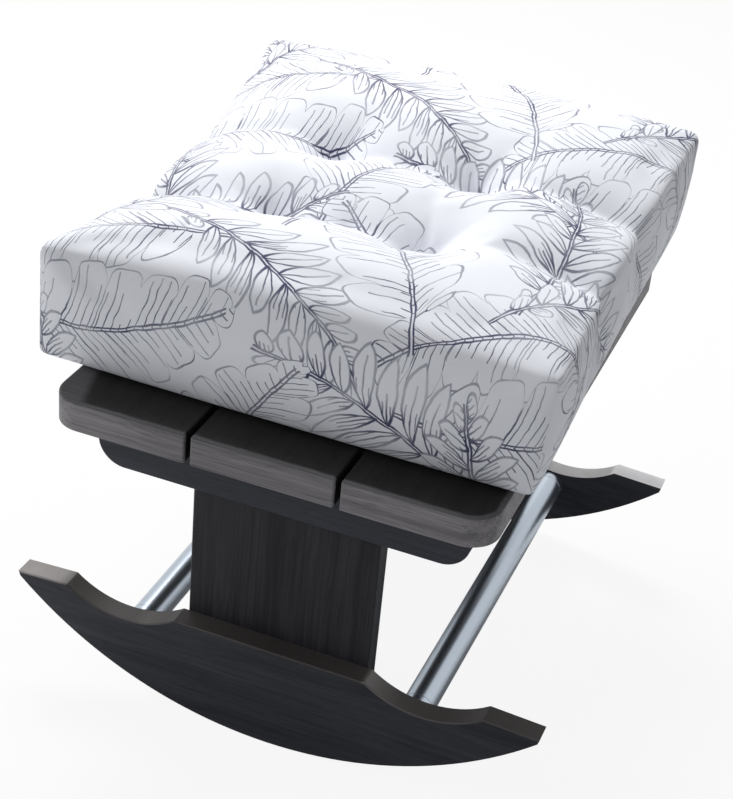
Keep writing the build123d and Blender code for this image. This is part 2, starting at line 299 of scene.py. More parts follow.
# Grain runs along the vector's X: a slow wavy figure, fine streaks and finer open pores.
grain_sway, figure_share, pore_shade = 0.022, 0.6, 0.35
seed_shift = (3.17, 1.31, 2.23)
figure_range, streak_range, pore_range = (0.32, 0.7), (0.35, 0.68), (0.56, 0.7)
grain, given, put = new_group(
    "stained_grain",
    (
        ("Vector", "Vector", None), ("Seed", "Float", 0.0),
        ("Dark", "Color", (0.02, 0.02, 0.02, 1)), ("Light", "Color", (0.1, 0.1, 0.1, 1)),
    ),
    (("Color", "Color"), ("Height", "Float")),
)
shift = vector_of(grain, *(times(grain, given["Seed"], step) for step in seed_shift))
moved = vector_calc(grain, "ADD", given["Vector"], shift)
wave = minus(grain, noise(grain, moved, 1.0, 1.0, stretch=(5, 14, 14)), 0.5)
sway = times(grain, wave, grain_sway)
swayed = vector_calc(grain, "ADD", moved, vector_of(grain, 0.0, sway, sway))
figure = noise(grain, swayed, 1.0, 3.0, 0.55, stretch=(3.0, 60, 60))
streaks = noise(grain, swayed, 1.0, 3.0, 0.6, stretch=(5.0, 320, 320))
pores = noise(grain, swayed, 1.0, 1.0, 0.5, stretch=(22.0, 900, 900))
mixed = plus(
    grain,
    times(grain, ramp(grain, figure, *figure_range), figure_share),
    times(grain, ramp(grain, streaks, *streak_range), 1 - figure_share),
)
pored = ramp(grain, pores, *pore_range)
toned = tint(grain, mixed, given["Dark"], given["Light"])
darker = tint(grain, times(grain, pored, pore_shade), toned, (0.006, 0.006, 0.006))
grain.links.new(darker, put["Color"])
grain.links.new(minus(grain, times(grain, streaks, 0.5), pored), put["Height"])

# The seat's border: a narrow band along the outline of the three slats together and a strip along
# the left side, both painted light beside the cushion's shadow; and the upright faces, without those in the
# gaps.
seat_low, seat_high = Vector(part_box("left_seat_slat")[0]), Vector(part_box("right_seat_slat")[1])
seat_middle, seat_half = (seat_low + seat_high) / 2, (seat_high - seat_low) / 2
seat_corner, border_width, border_blur, border_rag = 0.030, 0.005, 0.002, 0.003
strip_width, strip_taper = 0.037, 0.28  # at the front edge, and how much narrower per metre
strip_fade, upright_tilt = (-0.007, 0.004), (0.25, 0.7)
gap_tilt, gap_depth = 0.6, 0.004  # a face turned this far to X, this far in, lies in a gap
seat_border, given, put = new_group(
    "seat_border",
    (("Vector", "Vector", None), ("Normal", "Vector", None)), (("Band", "Float"), ("Side", "Float")),
)
place_x, place_y, _ = parts_of(seat_border, given["Vector"])
normal_x, _, normal_z = parts_of(seat_border, given["Normal"])
past, squares = [], []
for place, middle, half in ((place_x, seat_middle.x, seat_half.x), (place_y, seat_middle.y, seat_half.y)):
    off = size_of(seat_border, minus(seat_border, place, middle))
    past.append(minus(seat_border, off, half - seat_corner))
    rounded = calc(seat_border, "MAXIMUM", past[-1], 0.0)
    squares.append(times(seat_border, rounded, rounded))
beyond = calc(seat_border, "SQRT", plus(seat_border, *squares))
inside = calc(seat_border, "MINIMUM", calc(seat_border, "MAXIMUM", *past), 0.0)
inward = minus(seat_border, seat_corner, plus(seat_border, beyond, inside))
rag = minus(seat_border, noise(seat_border, given["Vector"], 70.0, 3.0), 0.5)
ragged = scaled(seat_border, rag, border_rag, inward)
low, high = border_width - border_blur, border_width + border_blur
band = minus(seat_border, 1.0, ramp(seat_border, ragged, low, high))
narrower = times(seat_border, minus(seat_border, place_y, seat_low.y), strip_taper)
strip_end = minus(seat_border, seat_low.x + strip_width, narrower)
strip = minus(seat_border, 1.0, ramp(seat_border, minus(seat_border, place_x, strip_end), *strip_fade))
band = calc(seat_border, "MAXIMUM", band, strip)
turned_aside = over(seat_border, size_of(seat_border, normal_x), gap_tilt)
faces_gap = times(seat_border, turned_aside, over(seat_border, inward, gap_depth))
open_face = minus(seat_border, 1.0, faces_gap)
upright_face = minus(seat_border, 1.0, ramp(seat_border, size_of(seat_border, normal_z), *upright_tilt))
seat_border.links.new(times(seat_border, band, open_face), put["Band"])
seat_border.links.new(times(seat_border, upright_face, open_face), put["Side"])


def stained_board(name, turn, seed, dark, light):
    """Stained board whose grain runs along the axis that the turn brings to X."""
    material, tree, shader = new_material(name)
    place, normal = place_in(tree)
    turned = tree.nodes.new("ShaderNodeMapping")
    turned.inputs["Rotation"].default_value = turn
    tree.links.new(place, turned.inputs["Vector"])
    wood = place_group(tree, grain, Vector=turned.outputs[0], Seed=seed, Dark=(*dark, 1), Light=(*light, 1))
    tree.links.new(wood["Color"], shader.inputs["Base Color"])
    relief(tree, shader, wood["Height"], 0.25, 0.0004)
    tree.links.new(scaled(tree, wood["Height"], 0.1, 0.5), shader.inputs["Roughness"])
    shader.inputs["Specular IOR Level"].default_value = 0.22
    return material, tree, shader, place, normal, wood["Color"]


def dress(name, material):
    """Gives a carried-over CAD piece its material."""
    cad[name].material_slots[0].material = material


def along(tree, value, *stops):
    """A share read from a value in metres, straight between (metres, share) stops."""
    low, high = stops[0][0], stops[-1][0]
    made = tree.nodes.new("ShaderNodeValToRGB")
    line = made.color_ramp.elements
    for metres, _ in stops[1:-1]:
        line.new((metres - low) / (high - low))
    for mark, (_, share) in zip(line, stops):
        mark.color = (share, share, share, 1)
    placed = calc(tree, "DIVIDE", minus(tree, value, low), high - low, clamp=True)
    tree.links.new(placed, made.inputs["Fac"])
    return made.outputs["Color"]


along_x, along_y, along_z = (0, 0, 0), (0, 0, radians(-90)), (0, radians(90), 0)
# Painted reflection: how far the rockers' upward faces are lightened toward a pale colour, along X, where the
# tips and the ends of the coves catch the bright surroundings.
edge_reflection_share = {
    "front": (
        (-0.30, 0.75), (-0.232, 0.66), (-0.220, 0.10), (-0.150, 0.10), (-0.135, 0.32), (-0.115, 0.18),
        (0.0, 0.05), (0.098, 0.10), (0.103, 0.85), (0.112, 0.65), (0.135, 0.28), (0.20, 0.14), (0.30, 0.14),
    ),
    "back": (
        (-0.30, 1.0), (-0.222, 0.95), (-0.215, 0.45), (-0.150, 0.50), (-0.105, 0.45), (0.0, 0.10),
        (0.105, 0.45), (0.150, 0.50), (0.215, 0.45), (0.222, 0.95), (0.30, 1.0),
    ),
}
edge_reflection_colour = {"front": (0.33, 0.31, 0.30), "back": (0.86, 0.84, 0.85)}
edge_brown, browning, upper_tilt = (0.040, 0.034, 0.029), 0.8, (0.5, 0.72)
board_seeds = {"front": (3.0, 5.0, 7.0), "back": (9.0, 12.0, 15.0)}  # rocker, upright, rail
for end, (rocker_seed, upright_seed, rail_seed) in board_seeds.items():
    material, tree, shader, place, normal, wood = stained_board(
        f"{end}_rocker_stain", along_x, rocker_seed, (0.022, 0.023, 0.030), (0.048, 0.050, 0.062),
    )
    top = ramp(tree, parts_of(tree, normal)[2], *upper_tilt)
    browned = tint(tree, times(tree, top, browning), wood, edge_brown)
    patchy = scaled(tree, noise(tree, place, 35.0, 3.0), 0.5, 0.75)
    reflection_share = along(tree, parts_of(tree, place)[0], *edge_reflection_share[end])
    # Painted reflection: upward faces of the rockers are mixed toward a pale colour, in patches, in place of
    # the gloss highlights on their tips and coves.
    painted_reflection = times(tree, top, reflection_share, patchy, clamp=True)
    tree.links.new(tint(tree, painted_reflection, browned, edge_reflection_colour[end]), shader.inputs["Base Color"])
    dress(f"{end}_rocker", material)
    dress(f"{end}_upright", stained_board(
        f"{end}_upright_stain", along_z, upright_seed, (0.009, 0.009, 0.011), (0.034, 0.034, 0.040),
    )[0])
    dress(f"{end}_seat_rail", stained_board(
        f"{end}_rail_stain", along_x, rail_seed, (0.030, 0.033, 0.043), (0.050, 0.053, 0.066),
    )[0])
# Painted light: the band and the strip take this lighter stain, as the lit border beside the shade that the
# cushion casts on the slat tops.
lit_border_stain = {"Dark": (0.070, 0.068, 0.072, 1), "Light": (0.115, 0.110, 0.115, 1)}
end_grain_stain = {"Dark": (0.122, 0.116, 0.126, 1), "Light": (0.285, 0.27, 0.285, 1)}
for seed, name in enumerate(("left", "middle", "right")):
    material, tree, shader, place, normal, wood = stained_board(
        f"{name}_slat_stain", along_y, 20.0 + seed, (0.004, 0.0038, 0.0036), (0.013, 0.012, 0.0115),
    )
    edge = place_group(tree, seat_border, Vector=place, Normal=normal)
    lit_border = place_group(tree, grain, Vector=place, Seed=30.0 + seed, **lit_border_stain)
    end_grain = place_group(tree, grain, Vector=place, Seed=40.0, **end_grain_stain)
    banded = tint(tree, edge["Band"], wood, lit_border["Color"])
    tree.links.new(tint(tree, edge["Side"], banded, end_grain["Color"]), shader.inputs["Base Color"])
    dress(f"{name}_seat_slat", material)

# ---- Tie tubes and plugs ----
# Two aluminium tubes between the rockers, satin polished, each closed by turned plugs whose
# collars show at the rockers.

metal_material, tree, shader = new_material("satin_aluminium")
shader.inputs["Metallic"].default_value = 1.0
lines = noise(tree, place_in(tree)[0], 1.0, 2.0, stretch=(700, 5, 700))
tree.links.new(tint(tree, lines, (0.42, 0.47, 0.53), (0.50, 0.55, 0.61)), shader.inputs["Base Color"])
tree.links.new(scaled(tree, lines, 0.06, 0.27), shader.inputs["Roughness"])
for side in ("left", "right"):
    for piece in ("tie_tube", "front_tube_plug", "back_tube_plug"):
        dress(f"{side}_{piece}", metal_material)

# ---- Screws and studs ----
# Zinc-plated steel: the studs that hold the tubes, and the wood screws, driven from inside
# and from below.

zinc_material, tree, shader = new_material("zinc_plating")
shader.inputs["Metallic"].default_value = 1.0
bloom = noise(tree, place_in(tree)[0], 180.0, 3.0)
tree.links.new(tint(tree, bloom, (0.5, 0.51, 0.52), (0.68, 0.67, 0.64)), shader.inputs["Base Color"])
tree.links.new(scaled(tree, bloom, 0.25, 0.25), shader.inputs["Roughness"])
dress("tube_studs", zinc_material)
for end in ("front", "back"):
    for board in ("rocker", "rail", "slat"):
        dress(f"{end}_{board}_screws", zinc_material)

# ---- Cushion case ----
# A loose cushion: a white cotton case with boxed corners, stuffed with fibre and pinched by
# four sewn tufts. Top and sides are one cloth, so the print runs over the edges.

case_width, case_depth, case_height = 0.500, 0.580, 0.130
seat_top = 0.3663
case_corners = {  # x and y of each lower corner, then x, y and z of the corner above it
    "front_left": ((-0.262, -0.2365), (-0.264, -0.2405, 0.488)),
    "front_right": ((0.234, -0.2425), (0.248, -0.2435, 0.492)),
    "back_right": ((0.218, 0.3565), (0.235, 0.3445, 0.505)),
    "back_left": ((-0.273, 0.3335), (-0.290, 0.3345, 0.509)),
}
rim_radius, front_rim_radius, foot_radius = 0.016, 0.040, 0.008
crown = 0.018
bow_in = {"front": (-0.002, 0.002), "right": (0.004, 0.006), "back": (0.004, 0.003), "left": (0.010, 0.016)}
edge_rise = {"front": 0.008, "right": -0.003, "back": 0.010, "left": -0.030}
tuft_columns, tuft_rows = (-0.107, 0.047), (-0.0455, 0.1075)
tuft_depth, tuft_spread = 0.068, 0.033
valley_places = (-0.2, tuft_columns[0], -0.03, tuft_columns[1], 0.2)  # along X, where the depths stand
valley_depths = ((0.026, 0, 0.026, 0, 0.020), (0.010, 0, 0.024, 0, 0.022))  # front row, back row
valley_width, valley_shape, valley_pull = 0.026, 1.2, 0.5
under_tuft_depth, under_tuft_reach = 0.012, 0.040
cells_x, cells_y, cells_z = 68, 80, 18
underside_shift = 1.2  # the underside's panel lies this far aside in the cloth's map

case_mesh = bpy.data.meshes.new("cushion_case")
build = bmesh.new()
corners = {}


def flat_corner(i, j, k):
    """A corner of the cloth's net, at a step of the flat sewn box."""
    if (i, j, k) not in corners:
        corners[i, j, k] = build.verts.new((
            (i / cells_x - 0.5) * case_width,
            (j / cells_y - 0.5) * case_depth,
            k / cells_z * case_height,
        ))
    return corners[i, j, k]


panels = []
for i in range(cells_x):
    for j in range(cells_y):
        panels.append((
            "top", [(i, j, cells_z), (i + 1, j, cells_z), (i + 1, j + 1, cells_z), (i, j + 1, cells_z)],
        ))
        panels.append(("bottom", [(i, j, 0), (i, j + 1, 0), (i + 1, j + 1, 0), (i + 1, j, 0)]))
for i in range(cells_x):
    for k in range(cells_z):
        panels.append(("front", [(i, 0, k), (i + 1, 0, k), (i + 1, 0, k + 1), (i, 0, k + 1)]))
        panels.append((
            "back", [(i, cells_y, k), (i, cells_y, k + 1), (i + 1, cells_y, k + 1), (i + 1, cells_y, k)],
        ))
for j in range(cells_y):
    for k in range(cells_z):
        panels.append(("left", [(0, j, k), (0, j, k + 1), (0, j + 1, k + 1), (0, j + 1, k)]))
        panels.append((
            "right", [(cells_x, j, k), (cells_x, j + 1, k), (cells_x, j + 1, k + 1), (cells_x, j, k + 1)],
        ))
cloth_map = build.loops.layers.uv.new("cloth")
for panel, steps in panels:
    face = build.faces.new([flat_corner(*step) for step in steps])
    face.smooth = True
    for loop in face.loops:
        x, y, z = loop.vert.co
        fall = case_height - z
        loop[cloth_map].uv = {
            "top": (x, y),
            "front": (x, y - fall),
            "back": (x, y + fall),
            "left": (x - fall, y),
            "right": (x + fall, y),
            "bottom": (x + underside_shift, y),
        }[panel]
build.to_mesh(case_mesh)
build.free()


def points_of(mesh):
    """The places of a mesh's points, one row each."""
    points = np.empty(len(mesh.vertices) * 3)
    mesh.vertices.foreach_get("co", points)
    return points.reshape(-1, 3)


def stuffed(flat):
    """The stuffed form of each point of the flat box: eased edges, bowed sides, pits and valleys."""
    half = np.array((case_width, case_depth, case_height)) / 2
    centred = flat - (0, 0, half[2])
    lift = np.clip(flat[:, 2] / case_height, 0, 1)
    lift = lift * lift * (3 - 2 * lift)
    front = np.clip(-centred[:, 1] / half[1], 0, 1) ** 4 * (1 - np.abs(centred[:, 0] / half[0]) ** 4)
    rim = rim_radius + (front_rim_radius - rim_radius) * front
    ease = (foot_radius + (rim - foot_radius) * lift)[:, None]
    core = np.clip(centred, ease - half, half - ease)
    way = centred - core
    eased = (core + ease * way / np.linalg.norm(way, axis=1)[:, None]) / half
    u, v, w = eased[:, 0], eased[:, 1], (eased[:, 2] + 1) / 2
    right, back = (u + 1) / 2, (v + 1) / 2
    points = np.zeros_like(flat)
    for name, ((x, y), above) in case_corners.items():
        share = (right if "right" in name else 1 - right) * (back if "back" in name else 1 - back)
        low = np.array((x, y, seat_top))
        points += share[:, None] * (low + w[:, None] * (np.array(above) - low))
    along_front, along_side = 1 - u**2, 1 - v**2
    for side, axis, way, length in (
        ("front", 1, -v, along_front), ("right", 0, u, along_side),
        ("back", 1, v, along_front), ("left", 0, -u, along_side),
    ):
        outer = np.clip(way, 0, 1)
        low, high = bow_in[side]
        inwards = 1 if side in ("front", "left") else -1
        points[:, axis] += inwards * outer * length * (low + (high - low) * w)
        points[:, 2] += w**2 * outer**4 * length * edge_rise[side]
    points[:, 2] += w**2 * crown * (1 - np.abs(u) ** 3) * (1 - np.abs(v) ** 3)
    x, y = points[:, 0].copy(), points[:, 1].copy()
    for tuft_y, depths in zip(tuft_rows, valley_depths):
        depth = np.interp(x, valley_places, depths)
        valley = depth * np.exp(-((np.abs(y - tuft_y) / valley_width) ** valley_shape))
        points[:, 2] -= w**2 * valley
        points[:, 0] -= valley_pull * w * valley * u * np.abs(u)
        for tuft_x in tuft_columns:
            away = np.hypot(x - tuft_x, y - tuft_y)
            points[:, 2] -= w**2 * tuft_depth * np.exp(-away / tuft_spread)
            under = np.clip(1 - away / under_tuft_reach, 0, 1) ** 2
            points[:, 2] += under_tuft_depth * under * (1 - w) ** 2
    return points


flat = points_of(case_mesh)
formed = stuffed(flat)
case_mesh.vertices.foreach_set("co", formed.ravel())
case = bpy.data.objects.new("cushion_case", case_mesh)
scene.collection.objects.link(case)

# The cloth finds its folds by itself: a cloth a little larger than the stuffed form is swelled
# by the fibre's pressure, and the tufts and the underside stay where they are.
cloth_slack, cloth_steps = 1.06, 25
cloth_nature = {
    "quality": 6, "mass": 0.25, "tension_stiffness": 15, "compression_stiffness": 15, "shear_stiffness": 5,
    "bending_stiffness": 0.1, "air_damping": 2, "use_pressure": True, "uniform_pressure_force": 1.5,
}
held_reach = 0.006  # of the top round each tuft
seam_swell, panel_swell = 0.002, 0.009  # how far the cloth may move near an edge and well inside a panel
panel_margin = 0.06  # how far from an edge the second one holds
case.shape_key_add(name="stuffed")
sewn = case.shape_key_add(name="sewn")
sewn.data.foreach_set("co", (formed * cloth_slack).ravel())
held = case.vertex_groups.new(name="held")
for index, (point, place) in enumerate(zip(flat, formed)):
    near_tuft = min(np.hypot(place[0] - x, place[1] - y) for x in tuft_columns for y in tuft_rows)
    if point[2] < 1e-6 or (point[2] > case_height - 1e-6 and near_tuft < held_reach):
        held.add([index], 1.0, "REPLACE")
cloth = case.modifiers.new("cloth", "CLOTH")
for label, value in cloth_nature.items():
    setattr(cloth.settings, label, value)
cloth.settings.vertex_group_mass = "held"
cloth.settings.rest_shape_key = sewn
cloth.settings.effector_weights.gravity = 0
cloth.collision_settings.use_collision = False
cloth.collision_settings.use_self_collision = False
for step in range(1, cloth_steps + 1):
    scene.frame_set(step)
moved = points_of(case.evaluated_get(bpy.context.evaluated_depsgraph_get()).data) - formed
case.modifiers.remove(cloth)
case.shape_key_clear()
scene.frame_set(1)
far = np.linalg.norm(moved, axis=1)
from_edges = np.stack((
    case_width / 2 - np.abs(flat[:, 0]),
    case_depth / 2 - np.abs(flat[:, 1]),
    np.minimum(flat[:, 2], case_height - flat[:, 2]),
), 1)
spare = np.sort(from_edges, axis=1)[:, 1]
cap = seam_swell + (panel_swell - seam_swell) * np.clip(spare / panel_margin, 0, 1)
points = formed + moved * (np.tanh(far / cap) * cap / np.maximum(far, 1e-9))[:, None]
points[:, 2] = np.maximum(points[:, 2], seat_top)
case_mesh.vertices.foreach_set("co", points.ravel())
finer = case.modifiers.new("finer", "SUBSURF")
finer.levels = finer.render_levels = 1
finer.uv_smooth = "NONE"
bpy.context.view_layer.objects.active = case
bpy.ops.object.modifier_apply(modifier="finer")

# The cloth gathers round each tuft in pleats that fade outwards.
pleat_depth, pleat_reach, pleat_floor = 0.0032, 0.020, 0.04  # none lies lower over the seat
pleats_in_turn, next_tuft_turn, unevenness = 3.5, 1.9, 0.7
pleat_sharpness, pleat_balance = 0.8, 0.6
points = points_of(case_mesh)
on_top = points[:, 2] > seat_top + pleat_floor
for order, (tuft_x, tuft_y) in enumerate((x, y) for x in tuft_columns for y in tuft_rows):
    x, y = points[:, 0] - tuft_x, points[:, 1] - tuft_y
    away, angle = np.hypot(x, y), np.arctan2(y, x)
    swirl = pleats_in_turn * angle + next_tuft_turn * order + unevenness * np.sin(2 * angle + order)
    fold = np.abs(np.sin(swirl)) ** pleat_sharpness - pleat_balance
    fade = away / pleat_reach * np.exp(1 - away / pleat_reach)
    points[:, 2] += np.where(on_top, pleat_depth * fold * fade, 0)
case_mesh.vertices.foreach_set("co", points.ravel())


# Ink drawings of plain foliage, which repeat over the cloth as printed cotton does. Each is
# laid out round its own middle: a bent stalk, with leaflets that leave it on both sides.
repeat_x, repeat_y = 0.43, 0.41
pen_blur, pen_fading = 0.0004, 0.42


def leaf_frame(group, given, sweep):
    """The place on the cloth in a leaf's own axes: along the stalk from its root, off it, on which
    side of it, and where on the stalk the side vein through the place starts."""
    off = vector_calc(group, "SUBTRACT", given["Vector"], given["Middle"])
    half = Vector((repeat_x / 2, repeat_y / 2, 1))
    wrapped = vector_calc(group, "WRAP", off, half, -half)
    turned = group.nodes.new("ShaderNodeVectorRotate")
    turned.rotation_type = "Z_AXIS"
    group.links.new(wrapped, turned.inputs["Vector"])
    group.links.new(times(group, given["Turn"], -1.0), turned.inputs["Angle"])
    middle_on, straight, _ = parts_of(group, turned.outputs[0])
    bent = minus(group, straight, times(group, given["Curl"], times(group, middle_on, middle_on)))
    onward = scaled(group, given["Length"], 0.5, middle_on)
    aside = size_of(group, bent)
    swept = times(group, aside, aside, sweep)
    base = plus(group, minus(group, onward, times(group, aside, given["Slant"])), swept)
    return onward, aside, over(group, bent, 0.0), base


def chance(group, *terms):
    """A fixed random number from three numbers."""
    made = group.nodes.new("ShaderNodeTexWhiteNoise")
    made.noise_dimensions = "3D"
    group.links.new(vector_of(group, *terms), made.inputs["Vector"])
    return made.outputs["Value"]


def stroke(group, distance, line, weight=None):
    """A pen line where the distance from it is under its width, the line times its weight."""
    width = times(group, line, weight) if weight else line
    edge_low, edge_high = minus(group, width, pen_blur), plus(group, width, pen_blur)
    return minus(group, 1.0, ramp(group, size_of(group, distance), edge_low, edge_high), clamp=True)


def faint(group, value, high):
    """Ink that fades away from the stalk."""
    return minus(group, 1.0, times(group, ramp(group, value, 0.05, high), pen_fading))


leaf_inputs = (
    ("Vector", "Vector", None), ("Middle", "Vector", (0, 0, 0)), ("Turn", "Float", 0.0),
    ("Length", "Float", 0.25), ("Reach", "Float", 0.06), ("Spacing", "Float", 0.014), ("Slant", "Float", 0.9),
    ("Curl", "Float", 1.0), ("Seed", "Float", 0.0), ("Line", "Float", 0.0006),
)
leaf_outputs = (("Ink", "Float"), ("Cover", "Float"))

# A frond with a row of pointed leaflets on each side, each with a rib and a hatching line.
frond, given, put = new_group("drawn_frond", leaf_inputs, leaf_outputs)
onward, aside, side, base = leaf_frame(frond, given, 5.0)
slope = calc(frond, "SQRT", plus(frond, 1.0, times(frond, given["Slant"], given["Slant"])))
out = times(frond, aside, slope)
cell = plus(frond, calc(frond, "DIVIDE", base, given["Spacing"]), times(frond, side, 0.5))
number = calc(frond, "FLOOR", cell)
luck = chance(frond, number, side, given["Seed"])
luck_b = chance(frond, number, plus(frond, side, 7.0), given["Seed"])
share = calc(frond, "DIVIDE", times(frond, plus(frond, number, 0.5), given["Spacing"]), given["Length"])
tapered = calc(frond, "POWER", minus(frond, 1.0, share, clamp=True), 0.55)
shape = times(frond, ramp(frond, share, -0.05, 0.3), tapered)
size = calc(frond, "MAXIMUM", times(frond, given["Reach"], shape, scaled(frond, luck, 0.35, 0.75)), 0.0005)
pitch = calc(frond, "DIVIDE", given["Spacing"], slope)
across = size_of(frond, times(frond, minus(frond, cell, number, 0.5), pitch))
wide = times(frond, pitch, scaled(frond, luck_b, 0.14, 0.34))
radius = calc(frond, "DIVIDE", times(frond, size, size), times(frond, wide, 8.0))
radius = plus(frond, radius, times(frond, wide, 0.5))
reach_x = minus(frond, out, times(frond, size, 0.5))
reach_y = minus(frond, plus(frond, across, radius), wide)
reached = plus(frond, times(frond, reach_x, reach_x), times(frond, reach_y, reach_y))
rim = minus(frond, calc(frond, "SQRT", reached), radius)
on_stalk = times(frond, over(frond, share, 0.02), below(frond, share, 0.99))
outline = times(frond, stroke(frond, rim, given["Line"]), on_stalk)
inner = times(frond, below(frond, rim, 0.0), on_stalk)
rib_end = times(frond, size, scaled(frond, luck_b, 0.5, 0.4))
rib = times(frond, stroke(frond, across, given["Line"], 0.7), below(frond, out, rib_end))
hatch_at = minus(frond, across, times(frond, wide, scaled(frond, luck_b, 0.3, 0.4)))
hatch_end = times(frond, size, scaled(frond, luck, 0.5, 0.15))
hatch = times(frond, stroke(frond, hatch_at, given["Line"], 0.55), below(frond, out, hatch_end))
lines = times(frond, calc(frond, "MAXIMUM", rib, hatch), inner)
stem_start = times(frond, given["Length"], -0.12)
stem_on = times(frond, over(frond, onward, stem_start), below(frond, onward, given["Length"]))
from_side = minus(frond, aside, times(frond, given["Line"], 1.6))
stem = times(frond, stroke(frond, from_side, given["Line"]), stem_on)
near_stalk = faint(frond, calc(frond, "DIVIDE", out, size), 0.75)
inked = calc(frond, "MAXIMUM", times(frond, calc(frond, "MAXIMUM", outline, lines), near_stalk), stem)
frond.links.new(inked, put["Ink"])
under_stem = times(frond, stem_on, below(frond, aside, times(frond, given["Line"], 2.0)))
frond.links.new(calc(frond, "MAXIMUM", inner, under_stem), put["Cover"])

# A broad leaf torn into lobes, with close veins of uneven length.
vein_spacing = 0.0085
blade, given, put = new_group("drawn_leaf", leaf_inputs, leaf_outputs)
onward, aside, side, base = leaf_frame(blade, given, 4.0)
lobe_cell = plus(blade, calc(blade, "DIVIDE", base, given["Spacing"]), times(blade, side, 0.37))
lobe = calc(blade, "FLOOR", lobe_cell)
in_lobe = minus(blade, lobe_cell, lobe, 0.5)
luck = chance(blade, lobe, side, given["Seed"])
part = calc(blade, "DIVIDE", onward, given["Length"])
rising = calc(blade, "POWER", calc(blade, "MAXIMUM", part, 0.0), 0.5)
shape = times(blade, rising, calc(blade, "POWER", minus(blade, 1.0, part, clamp=True), 0.6))
notch = calc(blade, "POWER", size_of(blade, times(blade, in_lobe, 2.0)), 5.0)
width = minus(
    blade,
    times(blade, given["Reach"], shape, scaled(blade, luck, 0.45, 1.1)),
    times(blade, notch, given["Reach"], scaled(blade, luck, 0.3, 0.08)),
)
rim = minus(blade, aside, width)
on_leaf = times(blade, over(blade, part, 0.0), below(blade, part, 1.0))
inner = times(blade, below(blade, rim, 0.0), on_leaf)
outline = times(blade, stroke(blade, rim, given["Line"], 1.1), on_leaf)
vein_cell = calc(blade, "DIVIDE", base, vein_spacing)
vein = calc(blade, "FLOOR", vein_cell)
vein_off = times(blade, minus(blade, vein_cell, vein, 0.5), vein_spacing)
vein_luck = chance(blade, vein, side, plus(blade, given["Seed"], 3.0))
vein_end = times(blade, width, scaled(blade, vein_luck, 0.95, 0.1))
veins = times(blade, stroke(blade, vein_off, given["Line"], 0.6), below(blade, aside, vein_end))
from_split = times(blade, minus(blade, 0.5, size_of(blade, in_lobe)), given["Spacing"])
split = times(blade, stroke(blade, from_split, given["Line"]), over(blade, luck, 0.45))
stem_start = times(blade, given["Length"], -0.18)
stem_on = times(blade, over(blade, onward, stem_start), below(blade, part, 0.96))
from_side = minus(blade, aside, times(blade, given["Line"], 2.0))
stem = times(blade, stroke(blade, from_side, given["Line"]), stem_on)
near_stalk = faint(blade, calc(blade, "DIVIDE", aside, given["Reach"]), 0.7)
inked = calc(blade, "MAXIMUM", outline, times(blade, calc(blade, "MAXIMUM", veins, split), inner))
blade.links.new(calc(blade, "MAXIMUM", times(blade, inked, near_stalk), stem), put["Ink"])
under_stem = times(blade, stem_on, below(blade, aside, times(blade, given["Line"], 2.5)))
blade.links.new(calc(blade, "MAXIMUM", inner, under_stem), put["Cover"])

cotton_white, ink_blue = (0.82, 0.835, 0.89), (0.045, 0.045, 0.11)
pen_thinnest, pen_spread = 0.00035, 0.0012
threads_per_metre = 500.0
hand_shake = ((14.0, 0.014), (70.0, 0.0026))  # a slow and a quick unsteadiness: turns per metre, metres
drawings = (
    # kind, then on the cloth: the middle's x and y, turn in degrees, length, reach, spacing, slant, curl
    (blade, 0.185, 0.150, 205, 0.25, 0.100, 0.036, 0.8, 1.4),
    (frond, -0.020, 0.150, -35, 0.27, 0.115, 0.026, 1.0, -1.1),
    (blade, -0.160, 0.050, 15, 0.24, 0.105, 0.036, 0.7, 1.5),
    (frond, 0.100, 0.035, 155, 0.26, 0.120, 0.026, 0.9, 1.2),
    (blade, -0.030, -0.030, 70, 0.22, 0.095, 0.034, 0.8, -1.4),
    (frond, 0.200, -0.060, 95, 0.27, 0.115, 0.025, 1.0, 1.0),
    (frond, -0.150, -0.120, 38, 0.27, 0.120, 0.027, 1.0, -1.2),
    (blade, 0.050, -0.150, 125, 0.25, 0.110, 0.038, 0.8, 1.4),
)
cotton_material, tree, shader = new_material("printed_cotton")
cloth_map_node = tree.nodes.new("ShaderNodeUVMap")
cloth_map_node.uv_map = "cloth"
map_x, map_y, _ = parts_of(tree, cloth_map_node.outputs[0])
set_aside = times(tree, over(tree, map_x, underside_shift / 2), underside_shift)
cloth_place = vector_of(tree, minus(tree, map_x, set_aside), map_y)
drawn_place = cloth_place
for turns, amount in hand_shake:
    shake = tree.nodes.new("ShaderNodeTexNoise")
    shake.inputs["Scale"].default_value = turns
    tree.links.new(cloth_place, shake.inputs["Vector"])
    reach, back = (amount, amount, 0), (-amount / 2, -amount / 2, 0)
    shaken = vector_calc(tree, "MULTIPLY_ADD", shake.outputs["Color"], reach, back)
    drawn_place = vector_calc(tree, "ADD", drawn_place, shaken)
pen = scaled(tree, noise(tree, cloth_place, 60.0, 2.0), pen_spread, pen_thinnest)
ink = None
for seed, (kind, x, y, turn, length, reach, spacing, slant, curl) in enumerate(drawings):
    drawn = place_group(
        tree, kind, Vector=drawn_place, Middle=(x, y, 0), Turn=radians(turn), Length=length, Reach=reach,
        Spacing=spacing, Slant=slant, Curl=curl, Seed=float(seed), Line=pen,
    )
    if ink is None:
        ink = drawn["Ink"]
    else:
        ink = calc(tree, "MAXIMUM", drawn["Ink"], times(tree, ink, minus(tree, 1.0, drawn["Cover"])))
pressed = ramp(tree, noise(tree, cloth_place, 22.0, 2.0), 0.3, 0.62)
shade = times(tree, ink, scaled(tree, pressed, 0.4, 0.6), clamp=True)
tree.links.new(tint(tree, shade, cotton_white, ink_blue), shader.inputs["Base Color"])
shader.inputs["Roughness"].default_value = 0.9
shader.inputs["Sheen Weight"].default_value = 0.15
